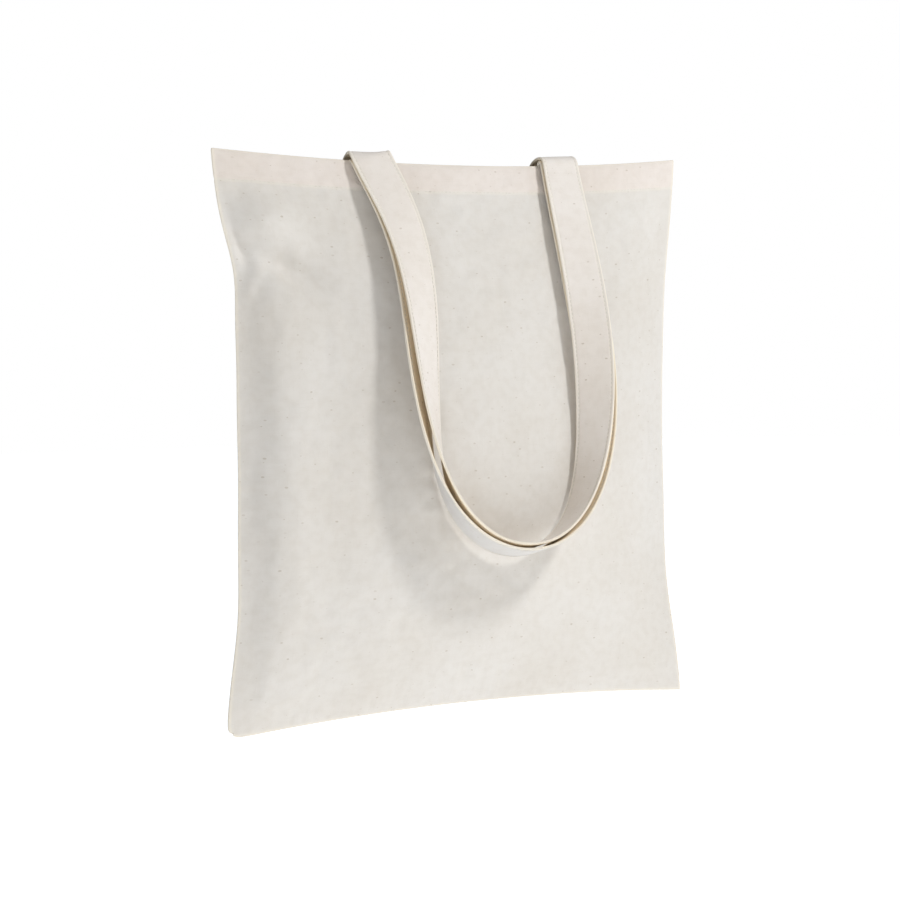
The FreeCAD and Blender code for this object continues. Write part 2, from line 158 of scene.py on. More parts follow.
def hung(u, v, side):
    """Where the cloth starts from: a loose pillow shape with its sides drawn in."""
    across, down = 2 * u / PANEL_W, v / PANEL_H
    half = PANEL_W / 2 - DRAWN_IN * np.sin(math.pi * np.clip(down, 0, 1)) ** 1.2
    top, full, way = STAND_OUT[side]
    depth = top + (full - top) * np.sin(np.minimum(down / FULLEST, 1) * math.pi / 2)
    tail = np.clip((down - FULLEST) / (1 - FULLEST), 0, 1) * math.pi / 2
    depth = np.where(down > FULLEST, full * np.maximum(np.cos(tail), 0) ** 0.8, depth)
    crown = 1 - across * across
    z = -v * (1 - 0.02 * crown) - MOUTH_SAG * crown * (1 - down)
    return np.stack([half * across, way * depth * crown, z], -1)


def hang_panels():
    """Both panels as grids of points, [row from the top, column from the left]."""
    u = np.linspace(-PANEL_W / 2, PANEL_W / 2, COLUMNS + 1)
    v = np.linspace(0, PANEL_H, ROWS + 1)
    grid_u, grid_v = np.meshgrid(u, v)
    start = [hung(grid_u, grid_v, side) for side in ("front", "back")]
    front = np.arange((ROWS + 1) * (COLUMNS + 1)).reshape(ROWS + 1, COLUMNS + 1)
    back = front.copy()
    inner = np.arange(ROWS * (COLUMNS - 1)).reshape(ROWS, COLUMNS - 1) + front.size
    back[:-1, 1:-1] = inner                              # the sides and the foot are shared
    flat = np.zeros((front.size + inner.size, 3))
    shaped = np.zeros_like(flat)
    for numbers, places, y in ((back, start[1], CLOTH / 2), (front, start[0], -CLOTH / 2)):
        flat[numbers] = np.stack([grid_u, np.full_like(grid_u, y), -grid_v], -1)
        shaped[numbers] = places
    faces = []
    for numbers, step in ((front, 1), (back, -1)):
        quads = np.stack([numbers[:-1, :-1], numbers[1:, :-1], numbers[1:, 1:], numbers[:-1, 1:]], -1)
        faces += quads.reshape(-1, 4)[:, ::step].tolist()
    mesh = bpy.data.meshes.new("pillow")
    mesh.from_pydata(flat.tolist(), [], faces)
    pillow = bpy.data.objects.new("pillow", mesh)
    bpy.context.scene.collection.objects.link(pillow)
    pillow.shape_key_add(name="flat")
    key = pillow.shape_key_add(name="hung")
    key.data.foreach_set("co", shaped.ravel())
    key.value = 1.0
    held = pillow.vertex_groups.new(name="held")
    held.add(np.unique(np.concatenate([front[0], back[0]])).tolist(), 1.0, "REPLACE")
    cloth = pillow.modifiers.new("cloth", "CLOTH")
    settings = cloth.settings
    settings.quality = 6
    settings.mass = 0.02
    settings.air_damping = 3
    settings.tension_stiffness = settings.compression_stiffness = 60
    settings.shear_stiffness = 20
    settings.bending_stiffness = 10
    settings.tension_damping = settings.compression_damping = settings.shear_damping = 10
    settings.bending_damping = 2
    settings.vertex_group_mass = "held"
    settings.rest_shape_key = mesh.shape_keys.key_blocks["flat"]
    settings.use_pressure = True
    settings.uniform_pressure_force = 0.5
    settings.effector_weights.gravity = 0.3
    cloth.collision_settings.use_collision = False
    cloth.point_cache.frame_start = 1
    cloth.point_cache.frame_end = SETTLE_FRAMES
    for number in range(1, SETTLE_FRAMES + 1):
        bpy.context.scene.frame_set(number)
    settled = pillow.evaluated_get(bpy.context.evaluated_depsgraph_get()).to_mesh()
    places = np.empty(len(settled.vertices) * 3)
    settled.vertices.foreach_get("co", places)
    places = places.reshape(-1, 3)
    bpy.data.objects.remove(pillow)
    bpy.context.scene.frame_set(1)
    return [places[front], places[back]]


def finer(grid, axis):
    """Splits every step along one axis in FINER, on a smooth curve through the points."""
    grid = np.moveaxis(grid, axis, 0)
    ends = np.concatenate([2 * grid[:1] - grid[1:2], grid, 2 * grid[-1:] - grid[-2:-1]])
    a, b, c, d = ends[:-3], ends[1:-2], ends[2:-1], ends[3:]
    steps = []
    for t in np.arange(FINER) / FINER:
        steps.append(b + 0.5 * t * (c - a + t * (2 * a - 5 * b + 4 * c - d + t * (3 * (b - c) + d - a))))
    rows = np.stack(steps, 1).reshape(-1, *grid.shape[1:])
    return np.moveaxis(np.concatenate([rows, grid[-1:]]), 0, axis)


# How far the sides are drawn in further, in millimetres: by how much, how far down, over what length.
SIDE_WAVES = {-1: [(6.3, 88, 34), (2.4, 140, 38), (3.0, 335, 45)],
              1: [(1.2, 95, 40), (3.3, 325, 48)]}
# The front's full flanks: how far out in millimetres, where across, how wide (half the panel is 1).
FLANKS = [(8, -0.85, 0.13), (3, 0.82, 0.16)]
CORNER = 3.5 * MM                    # how blunt the lower left corner is
# Soft dents and ridges of the front cloth, in millimetres on the flat panel: where, how long and
# how wide, the slant, and how deep (a ridge is less than nothing deep).
DENTS = [
    (-160, 48, 20, 16, 0.10, -7.5),
    (-183, 64, 22, 7, 1.35, 3.0),
    (-176, 90, 18, 6, -1.05, -2.6),
    (-150, 82, 28, 12, 0.40, 9.0),
    (-128, 122, 40, 16, 0.60, -1.8),
    (172, 62, 22, 12, 1.40, 2.2),
    (-60, 250, 70, 40, 0.80, 1.5),
    (95, 300, 60, 40, -0.60, 1.5),
]


def creases(u, v, front):
    """How the settled cloth is moved on: sides drawn in, full flanks, soft dents and a blunt corner."""
    across = 2 * u / PANEL_W
    room = smooth_step((1 - np.abs(across)) / 0.14)
    x, y = np.zeros_like(u), np.zeros_like(u)
    for sign, waves in SIDE_WAVES.items():
        wave = sum(by * bump(v, down * MM, over * MM) for by, down, over in waves)
        x -= sign * wave * np.maximum(sign * across, 0) ** 3 * MM
    if front:
        fullness = np.sin(math.pi * np.clip((v - 30 * MM) / (PANEL_H - 45 * MM), 0, 1)) ** 0.7
        y -= fullness * room * sum(by * bump(across, where, wide) for by, where, wide in FLANKS) * MM
        near_seam = smooth_step((1 - np.abs(across)) / 0.06)
        for right_by, down_by, long_way, short_way, lean, depth in DENTS:
            du, dv = u - right_by * MM, v - down_by * MM
            along = (du * math.cos(lean) + dv * math.sin(lean)) / (long_way * MM)
            off = (dv * math.cos(lean) - du * math.sin(lean)) / (short_way * MM)
            y += depth * MM * np.exp(-along ** 2 - off ** 2) * near_seam
    corner = np.exp(-np.hypot(u + PANEL_W / 2, PANEL_H - v) / (4 * MM)) * CORNER
    return np.stack([x + corner, y, corner], -1)


class Panel:
    """One settled panel: points, outward normals and cloth coordinates on a fine grid."""

    def __init__(self, name, grid, outward):
        self.name = name
        self.points = finer(finer(grid, 0), 1)
        rows, columns = self.points.shape[:2]
        self.u = np.linspace(-PANEL_W / 2, PANEL_W / 2, columns)
        self.v = np.linspace(0, PANEL_H, rows)
        self.points += creases(*np.meshgrid(self.u, self.v), outward < 0)
        self.along_v, self.along_u = (unit(g) for g in np.gradient(self.points, axis=(0, 1)))
        normal = unit(np.cross(self.along_u, self.along_v))
        self.normals = normal * (1 if normal[4, len(self.u) // 2, 1] * outward > 0 else -1)

    def pick(self, values, u, v):
        """Values of the grid at cloth coordinates u and v."""
        i = np.clip((u - self.u[0]) / (self.u[1] - self.u[0]), 0, len(self.u) - 1.000001)
        j = np.clip(v / (self.v[1] - self.v[0]), 0, len(self.v) - 1.000001)
        i0, j0 = i.astype(int), j.astype(int)
        fi, fj = (i - i0)[..., None], (j - j0)[..., None]
        top = values[j0, i0] * (1 - fi) + values[j0, i0 + 1] * fi
        low = values[j0 + 1, i0] * (1 - fi) + values[j0 + 1, i0 + 1] * fi
        return top * (1 - fj) + low * fj

    def at(self, u, v, off):
        """The point off the cloth's own surface by off, outwards."""
        u, v, off = np.broadcast_arrays(*(np.asarray(part, float) for part in (u, v, off)))
        return self.pick(self.points, u, v) + unit(self.pick(self.normals, u, v)) * off[..., None]

    def out(self, u, v):
        """The outward direction at a place on the cloth."""
        u, v = np.broadcast_arrays(np.asarray(u, float), np.asarray(v, float))
        return unit(self.pick(self.normals, u, v))


def relief(panel, u, v):
    """How far the sewn outer face stands proud of the settled cloth."""
    edge, foot = PANEL_W / 2 - np.abs(u), PANEL_H - v
    hem = 0.45 * MM * smooth_step((HEM_STITCH + 1.2 * MM - v) / (1.6 * MM)) * smooth_step(edge / (8 * MM))
    line = -0.5 * MM * bump(v, HEM_STITCH, 0.9 * MM)
    gathers = (np.sin(u * 620 + 1.7 * np.sin(u * 97)) + 0.6 * np.sin(u * 1130 + 2.0)) * 0.5
    along_hem = 0.13 * MM * gathers * np.exp(-np.abs(v - HEM_STITCH) / (7 * MM))
    along_foot = 0.35 * MM * gathers * np.exp(-foot / (9 * MM)) * smooth_step(foot / (2 * MM))
    down = np.sin(v * 540 + 1.3 * np.sin(v * 71 + 0.6)) + 0.5 * np.sin(v * 1010)
    along_side = 0.22 * MM * down * np.exp(-edge / (6 * MM)) * smooth_step(edge / (2 * MM))
    return hem + line + along_hem + along_foot + along_side


CREST = 0.9 * MM                     # the roll over the mouth's edge is round a line this far down
CREST_STEPS, SEAM_STEPS = 9, 5


def into_seam(outer, inner, at, base):
    """The four grids with columns added that curl off the last one, round the seam line, to the
    plane between the panels."""
    away = base[:, -1] - base[:, -4]
    normal = unit(outer[:, -1] - base[:, -1])
    leaving = unit(away - normal * (away * normal).sum(-1, keepdims=True))
    close = np.arctan2(np.abs(normal[:, 1]), np.maximum(leaving[:, 1] * -np.sign(normal[:, 1]), 0.05))
    full = np.linalg.norm(outer[:, -1] - base[:, -1], axis=-1, keepdims=True)
    columns = [[], [], [], []]
    for step in range(1, SEAM_STEPS + 1):
        angle = (close * step / SEAM_STEPS)[:, None]
        heading = normal * np.cos(angle) + leaving * np.sin(angle)
        radius = full * (1 - 0.42 * (step / SEAM_STEPS) ** 3)
        columns[0].append(base[:, -1] + heading * radius)
        columns[1].append(base[:, -1] + heading * np.maximum(radius - CLOTH, 0.1 * MM))
        columns[2].append(at[:, -1] + (at[:, -1] - at[:, -2]) * step / 16)
        columns[3].append(base[:, -1])
    return [np.concatenate([grid, np.stack(new, 1)], 1)
            for grid, new in zip((outer, inner, at, base), columns)]


def make_panel(panel):
    """The outer cloth: rolled over the mouth's edge at the top and into the seams elsewhere."""
    u, v = np.meshgrid(panel.u, panel.v[panel.v > 1.0 * MM])
    normals = panel.out(u, v)
    base = panel.at(u, v, 0.0)
    lift = SEAM_ROLL + relief(panel, u, v)
    outer, inner = base + normals * lift[..., None], base + normals * (lift - CLOTH)[..., None]
    at = np.stack([u, v, np.zeros_like(u)], -1)

    crest = panel.at(panel.u, CREST, 0.3 * MM)
    out = panel.out(panel.u, CREST)
    up = unit(panel.at(panel.u, 0.0, 0) - panel.at(panel.u, 4 * MM, 0))
    angles = np.radians(np.linspace(180, 10, CREST_STEPS))
    heading = np.stack([out * math.cos(angle) + up * math.sin(angle) for angle in angles])
    outer = np.concatenate([crest + heading * (0.3 * MM + CLOTH), outer])
    inner = np.concatenate([crest + heading * 0.3 * MM, inner])
    turned = -np.linspace(2.2, -0.7, CREST_STEPS)[:, None] * MM * np.ones_like(panel.u)
    turned_at = np.stack([np.broadcast_to(panel.u, turned.shape), turned, 0 * turned], -1)
    at = np.concatenate([turned_at, at])
    base = np.concatenate([np.broadcast_to(crest, (CREST_STEPS, *crest.shape)), base])

    grids = (outer, inner, at, base)
    for _ in range(2):                                   # the right-hand side, then the left
        grids = [grid[:, ::-1] for grid in into_seam(*grids)]
    foot_first = (np.swapaxes(grid, 0, 1) for grid in grids)
    outer, inner, at, _ = (np.swapaxes(grid, 0, 1) for grid in into_seam(*foot_first))

    edge = PANEL_W / 2 - np.abs(at[..., 0])
    foot = PANEL_H - at[..., 1]
    v = at[..., 1]
    wear = np.maximum.reduce([bump(edge, -0.5 * MM, 1.6 * MM), bump(foot, -0.5 * MM, 1.6 * MM),
                              bump(v, -0.3 * MM, 1.5 * MM), 0.5 * bump(v, HEM_STITCH, 0.8 * MM)])
    tone = smooth_step((HEM_STITCH + 0.8 * MM - v) / (1.0 * MM))
    return slab(f"{panel.name}_panel_cloth", outer, inner, at, wear, tone)


def make_hem(panel):
    """The two layers turned to the inside, with a folded lower edge."""
    radius = CLOTH
    fold = HEM_DEPTH - radius                            # where the lower edge begins to round off
    u = np.linspace(-PANEL_W / 2 + HEM_INSET, PANEL_W / 2 - HEM_INSET, 189)
    v = np.concatenate([np.linspace(0.9 * MM, 20 * MM, 11), np.linspace(20.4 * MM, fold, 6),
                        fold + radius * np.sin(np.radians([20, 40, 60, 75, 90]))])
    u, v = np.meshgrid(u, v)
    half = 0.58 * MM * np.sqrt(np.clip(1 - (np.maximum(v - fold, 0) / radius) ** 2, 0.02, 1))
    half = half - 0.2 * MM * bump(v, HEM_STITCH, 0.8 * MM)
    room = np.abs(panel.at(u, v, 0)[..., 1]) - 0.08 * MM
    inner = -np.minimum(half, room)
    at = np.stack([u, -v, np.full_like(u, 0.11)], -1)
    wear = np.maximum(bump(v, HEM_DEPTH, 1.0 * MM), 0.4 * bump(v, HEM_STITCH, 0.8 * MM))
    return slab(f"{panel.name}_hem_layers", panel.at(u, v, half), panel.at(u, v, inner), at, wear,
                np.ones_like(u))


# ---------------------------------------------------------------- seams inside the bag

def make_seam(name, edge, inward, waves):
    """Two raw layers sewn along the edge and standing inwards; returns the piece and its raw edge."""
    depth = np.linspace(0.2 * MM, SEAM_DEPTH, 8)
    length = lengths(edge)
    sway = (np.sin(length * 130 + waves) + 0.5 * np.sin(length * 310))[:, None] * 0.25 * MM
    grow = (depth / SEAM_DEPTH) ** 2
    middle = edge[:, None] + inward[:, None] * depth[None, :, None]
    middle = middle + np.array([0, 1, 0]) * (sway * grow)[..., None]
    thick = np.array([0, 1, 0]) * (CLOTH * 0.95 * (1 - 0.15 * grow))[None, :, None]
    size = middle.shape[:2]
    at = np.stack([np.broadcast_to(depth, size), np.broadcast_to(length[:, None], size),
                   np.full(size, 0.23)], -1)
    wear = np.broadcast_to(grow * 0.6, size)
    piece = slab(f"{name}_seam_cloth", middle - thick, middle + thick, at, wear, np.zeros(size))
    return piece, middle[:, -1]


# ---------------------------------------------------------------- rows of stitches

def stitches(name, rows, length=2.4 * MM, width=0.55 * MM, height=0.42 * MM):
    """Thread beads; rows is a list of (centres, along, out)."""
    centres, along, out = (np.concatenate(part) for part in zip(*rows))
    along = unit(along)
    out = unit(out - along * (out * along).sum(-1, keepdims=True))
    side = np.cross(along, out)
    rings, points = 6, 7                                 # one stitch's mesh
    shape = []
    for ring in range(rings):
        t = -1 + 2 * ring / (rings - 1)
        thick = max(1 - abs(t) ** 3, 0.0) ** 0.5 * 0.9 + 0.1
        dip = -0.45 * abs(t) ** 2.5
        for point in range(points):
            angle = 2 * math.pi * point / points
            shape.append((t * length / 2, math.cos(angle) * width / 2 * thick,
                          math.sin(angle) * height / 2 * thick + dip * height))
    shape = np.array(shape)
    vertices = (centres[:, None] + along[:, None] * shape[None, :, :1]
                + side[:, None] * shape[None, :, 1:2] + out[:, None] * shape[None, :, 2:])
    one = []
    for ring in range(rings - 1):
        for point in range(points):
            after = (point + 1) % points
            one.append([ring * points + point, ring * points + after,
                        (ring + 1) * points + after, (ring + 1) * points + point])
    faces = []
    caps = [list(range(points))[::-1], list(range((rings - 1) * points, rings * points))]
    for number in range(len(centres)):
        first = number * len(shape)
        faces += [[first + k for k in face] for face in one + caps]
    apart = np.repeat(np.arange(len(centres)), len(shape))[:, None] * [3.7 * MM, 0, 0]
    place = np.tile(shape, (len(centres), 1)) + apart
    return new_piece(name, vertices.reshape(-1, 3), faces, [("cloth_at", place)], sharp=80)


def row_along(points, out, pitch=3.1 * MM, skip=0.5):
    """Evenly spaced stitches on a line of points with an outward direction at each."""
    length = lengths(points)

    def on_line(values, where):
        return np.stack([np.interp(where, length, values[:, k]) for k in range(3)], -1)

    places = np.arange(skip * pitch, length[-1] - skip * pitch + 1e-9, pitch)
    along = on_line(points, places + 0.4 * pitch) - on_line(points, places - 0.4 * pitch)
    return on_line(points, places), along, on_line(out, places)


def surface_row(panel, start, end, off, outward, **spacing):
    """A straight row of stitches on a panel, between two (u, v) places; off is None on its outer face."""
    t = np.linspace(0, 1, 60)
    u, v = start[0] + (end[0] - start[0]) * t, start[1] + (end[1] - start[1]) * t
    if off is None:
        off = SEAM_ROLL + relief(panel, u, v)
    return row_along(panel.at(u, v, off), panel.out(u, v) * outward, **spacing)


def overlock(name, raw, inward):
    """Thread over a raw edge: slanted stitches on both its faces and a row along it."""
    rows = []
    for way in (-1, 1):
        beside = raw - inward * 0.6 * MM + np.array([0, way * 0.45 * MM, 0])
        centres, along, out = row_along(beside, np.tile([0.0, way, 0.0], (len(raw), 1)), pitch=1.6 * MM)
        slant = way * 0.8 * inward[len(inward) // 2]
        rows.append((centres, unit(along) * 0.55 - slant, out))
    rows.append(row_along(raw, inward, pitch=2.4 * MM))
    return stitches(name, rows, length=2.6 * MM, width=0.6 * MM, height=0.5 * MM)


# ---------------------------------------------------------------- handles

LEG_START_Y, LEG_START_Z = -19.2 * MM, -8.6 * MM       # where a leg leaves the fold over the hem
LOOP_LEAN, LOOP_DROP, LOOP_STAND_OFF = 17 * MM, 292 * MM, 71 * MM
LOOP_TWIST = math.radians(105)                       # how far a leg has turned at its lowest point
TWIST_GROWTH = 1.6                                   # the turn grows as this power of the way down
LOOP_GAP, LOOP_SPREAD = 3.9 * MM, 3.0 * MM           # the back handle off the front one
# How far the fold's ends pull it: up from the hem, and back from the leg's start.
FOLD_PULLS = {"under": (8.0 * MM, 5.5 * MM), "over": (10.5 * MM, 10 * MM)}
TAB_FOOT, TAB_TOP = 22 * MM, 5 * MM                  # the sewn end, down from the mouth
LEG_STEPS, FOLD_STEPS, TAB_STEPS = 131, 17, 9


def bezier(points, u):
    """Points and unit headings on a Bezier curve, for an array of shares u."""
    degree = len(points) - 1
    points = np.asarray(points, float)
    place = sum(points[k] * (math.comb(degree, k) * (1 - u) ** (degree - k) * u ** k)[:, None]
                for k in range(degree + 1))
    heading = sum((points[k + 1] - points[k])
                  * (math.comb(degree - 1, k) * (1 - u) ** (degree - 1 - k) * u ** k)[:, None]
                  for k in range(degree))
    return place, unit(heading)


# The legs' Bezier control points in millimetres, left and right: three between the start and the
# loop, and then the x of the last one before the lowest point.
LEG_PULLS = {
    -1: ([(-63.0, -37.5, -51.0), (-27.5, -58.5, -111.0), (-100.5, -75.0, -187.0)], -53.0),
    1: ([(76.0, -42.0, -75.5), (83.5, -66.0, -140.0), (102.0, -55.0, -213.0)], 79.5),
}


def leg(sign, over):
    """A handle's leg from the hem to the loop's lowest point: places, widths, facings and headings.
    over is true for the back handle, which lies on the front one."""
    pulls, last_x = LEG_PULLS[sign]
    lowest = (LOOP_LEAN, -LOOP_STAND_OFF, -LOOP_DROP)
    route = np.array([(sign * HANDLE_X, LEG_START_Y, LEG_START_Z), *(np.array(pulls) * MM),
                      (last_x * MM, *lowest[1:]), lowest])
    u = np.linspace(0, 1, LEG_STEPS)
    place, along = bezier(route, u)
    forward = np.array([0.0, -1.0, 0.0])
    facing = unit(forward - along * (along @ forward)[:, None])
    across = unit(np.cross(along, facing))
    if across[0, 0] * sign < 0:
        across = -across
    down = (place[:, 2] - place[0, 2]) / (place[-1, 2] - place[0, 2])
    turn = (LOOP_TWIST * np.clip(down, 0, 1) ** TWIST_GROWTH)[:, None]
    face = facing * np.cos(turn) - across * np.sin(turn)
    wide = across * np.cos(turn) + facing * np.sin(turn)
    if over:
        place = place + face * (LOOP_GAP + LOOP_SPREAD * np.sin(math.pi * u) ** 2)[:, None]
    return place, wide, face, along


def half_web(panel, sign, over):
    """One half of a handle, from its sewn end, over the hem and down to the loop's lowest point."""
    place, wide, face, along = leg(sign, over)
    depth = np.linspace(TAB_FOOT, TAB_TOP, TAB_STEPS)
    u = np.full_like(depth, sign * HANDLE_X)
    tab = panel.at(u, depth, -HEM_INSIDE - WEB_HALF)
    tab_face = -panel.out(u, depth)
    tab_wide = unit(panel.at(u + 5 * MM, depth, 0) - panel.at(u - 5 * MM, depth, 0)) * sign
    rise = unit(tab[-1] - tab[-2])
    reach, lead = FOLD_PULLS["over" if over else "under"]
    share = np.linspace(0, 1, FOLD_STEPS)[1:-1]
    pulls = [tab[-1], tab[-1] + rise * reach, place[0] - along[0] * lead, place[0]]
    fold, heading = bezier(pulls, share)
    fold[:, 0] = sign * HANDLE_X + (fold[:, 0] - sign * HANDLE_X) * smooth_step(share)
    slant = smooth_step((share - 0.6) / 0.4 if over else share)[:, None]
    fold_wide = unit(tab_wide[-1] * (1 - slant) + wide[0] * slant)
    fold_face = unit(np.cross(heading, fold_wide))
    fold_face *= np.sign(fold_face[:, 2:])
    return [np.concatenate(parts) for parts in zip(
        (tab, tab_wide, tab_face), (fold, fold_wide, fold_face), (place, wide, face))]


def web_frames(panel, over):
    """The whole handle from its left end to its right: places, widths, facings and lengths."""
    halves = (half_web(panel, sign, over) for sign in (-1, 1))
    place, wide, face = (np.concatenate([a, b[-2::-1]]) for a, b in zip(*halves))
    return place, unit(wide), unit(face), lengths(place)


STITCH_IN = WEB_WIDTH / 2 - 2.5 * MM                 # the edge stitching, off the middle line
EDGE_ROUND = 1.2 * MM                                # the folded edges round off over this width
EDGE_IN = WEB_WIDTH / 2 - EDGE_ROUND


def web_height(a):
    """Half a web's thickness at a distance a from its middle line, between the folded edges."""
    a = np.abs(a)
    body = WEB_HALF * (0.80 + 0.16 * (1 - np.clip(a / STITCH_IN, 0, 1) ** 4))
    bead = 0.22 * WEB_HALF * bump(a, 14.0 * MM, 1.0 * MM)
    return body + bead - 0.24 * WEB_HALF * bump(a, STITCH_IN, 0.55 * MM)


def web_profile():
    """The closed section: distances across and off the middle line, and how worn each point is."""
    beside = np.linspace(11.2 * MM, EDGE_IN, 7)
    flat = np.concatenate([-beside[::-1], np.linspace(-9 * MM, 9 * MM, 7), beside])
    arc = np.radians(np.linspace(90, -90, 13))[1:-1]
    notch = 1 - 0.42 * bump(arc, 0, 0.30)
    edge_a = EDGE_IN + EDGE_ROUND * np.cos(arc) * notch
    edge_h = web_height(EDGE_IN) * np.sin(arc)
    across = np.concatenate([flat, edge_a, flat[::-1], -edge_a])
    off = np.concatenate([web_height(flat), edge_h, -web_height(flat), -edge_h])
    wear = bump(np.abs(across), 15 * MM, 1.3 * MM) + 0.35 * bump(np.abs(across), STITCH_IN, 0.6 * MM)
    return across, off, np.clip(wear, 0, 1)


def make_web(name, frames, hidden, shown, phase):
    """A handle. hidden is +1 or -1 for the face against the other handle, which takes tone 2, painted
    shade with warm bounce light; shown is the other face's tone (0 is painted shade); phase sets its
    waves and yarns apart from the other handle's."""
    place, wide, face, length = frames
    across, off, wear = web_profile()
    sway = 0.35 * MM * (np.sin(length * 21 + 0.8) * 0.6 + np.sin(length * 47 + phase) * 0.4)
    from_end = np.minimum(length, length[-1] - length)
    sway = sway * smooth_step((from_end - 50 * MM) / (60 * MM))
    puff = 1 + 0.07 * np.sin(length * 83) + 0.05 * np.sin(length * 191 + 1)
    vertices = (place[:, None] + wide[:, None] * across[None, :, None]
                + face[:, None] * (off[None, :, None] * puff[:, None, None] + sway[:, None, None]))
    rows, columns = vertices.shape[:2]
    index = np.arange(rows * columns).reshape(rows, columns)
    after = np.roll(index, -1, 1)
    faces = np.stack([index[:-1], index[1:], after[1:], after[:-1]], -1).reshape(-1, 4).tolist()
    faces += [index[0].tolist(), index[-1, ::-1].tolist()]
    round_about = lengths(np.stack([across, off], -1))
    at = np.stack([np.broadcast_to(round_about, index.shape),
                   np.broadcast_to(length[:, None], index.shape),
                   np.full(index.shape, 0.31 + 0.1 * phase % 1)], -1)
    # Painted light: the face against the other handle takes tone 2, a tan standing for shade and warm
    # bounce light between the handles; the other face takes shown, which on the front handle is tone 0, a
    # grey standing for shade against the bag.
    inside = smooth_step(hidden * off / WEB_HALF * 0.5 + 0.5)
    attributes = [("cloth_at", at.reshape(-1, 3)), ("wear", np.tile(wear, rows)),
                  ("tone", np.tile(shown + (2 - shown) * inside, rows))]
    return new_piece(name, vertices.reshape(-1, 3), faces, attributes, sharp=75)


def web_stitches(name, frames):
    """A row of thread beside each edge, on both faces."""
    place, wide, face, length = frames
    rows = []
    for a in (-STITCH_IN, STITCH_IN):
        for way in (1, -1):
            level = web_height(np.array(a)) * way
            rows.append(row_along(place + wide * a + face * level, face * way))
    return stitches(name, rows)


def box_rows(panel, sign, off, outward):
    """A box with a cross in it, on a handle's sewn end."""
    middle, half = sign * HANDLE_X, WEB_WIDTH / 2 - 3 * MM
    left, right, top, foot = middle - half, middle + half, 4 * MM, 19 * MM
    lines = [((left, top), (right, top)), ((right, top), (right, foot)), ((right, foot), (left, foot)),
             ((left, foot), (left, top)), ((left, top), (right, foot)), ((left, foot), (right, top))]
    return [surface_row(panel, start, end, off, outward, pitch=2.7 * MM, skip=0.6)
            for start, end in lines]


# ---------------------------------------------------------------- materials

class Nodes:
    """Short calls for building the node tree of a material or a world."""

    def __init__(self, owner):
        self.tree = owner.node_tree
        self.tree.nodes.clear()

    def add(self, kind, inputs=(), **settings):
        node = self.tree.nodes.new(kind)
        for key, value in settings.items():
            setattr(node, key, value)
        for socket, value in dict(inputs).items():
            self.feed(node.inputs[socket], value)
        return node

    def feed(self, socket, value):
        if isinstance(value, bpy.types.NodeSocket):
            self.tree.links.new(value, socket)
        elif isinstance(value, bpy.types.Node):
            self.tree.links.new(value.outputs[0], socket)
        else:
            socket.default_value = value

    def math(self, operation, a, b=0.0, c=None):
        inputs = {0: a, 1: b} if c is None else {0: a, 1: b, 2: c}
        return self.add("ShaderNodeMath", inputs, operation=operation).outputs[0]

    def mix(self, share, a, b, blend="MIX"):
        node = self.add("ShaderNodeMix", data_type="RGBA", blend_type=blend)
        self.feed(node.inputs[0], share)
        self.feed(node.inputs[6], a)
        self.feed(node.inputs[7], b)
        return node.outputs[2]

    def attribute(self, name):
        return self.add("ShaderNodeAttribute", attribute_name=name, attribute_type="GEOMETRY")

    def noise(self, vector, scale, detail=2.0, stretch=(1, 1, 1), rough=0.5):
        placed = self.add("ShaderNodeVectorMath", {0: vector, 1: tuple(scale * s for s in stretch)},
                          operation="MULTIPLY")
        node = self.add("ShaderNodeTexNoise", {"Vector": placed, "Scale": 1.0, "Detail": detail,
                                               "Roughness": rough})
        return node.outputs[0]

    def between(self, value, low, high, to_low=0.0, to_high=1.0):
        return self.add("ShaderNodeMapRange", {0: value, 1: low, 2: high, 3: to_low, 4: to_high},
                        interpolation_type="SMOOTHSTEP").outputs[0]


STAIN, SPOT = (0.86, 0.82, 0.76, 1), (0.80, 0.76, 0.70, 1)
THICK_YARN, THIN_YARN = (0.93, 0.90, 0.84, 1), (0.62, 0.57, 0.49, 1)
BETWEEN_YARNS, SEED_FLECK = (0.55, 0.50, 0.42, 1), (0.36, 0.26, 0.15, 1)
THREAD_SHADE = (0.50, 0.44, 0.35, 1)


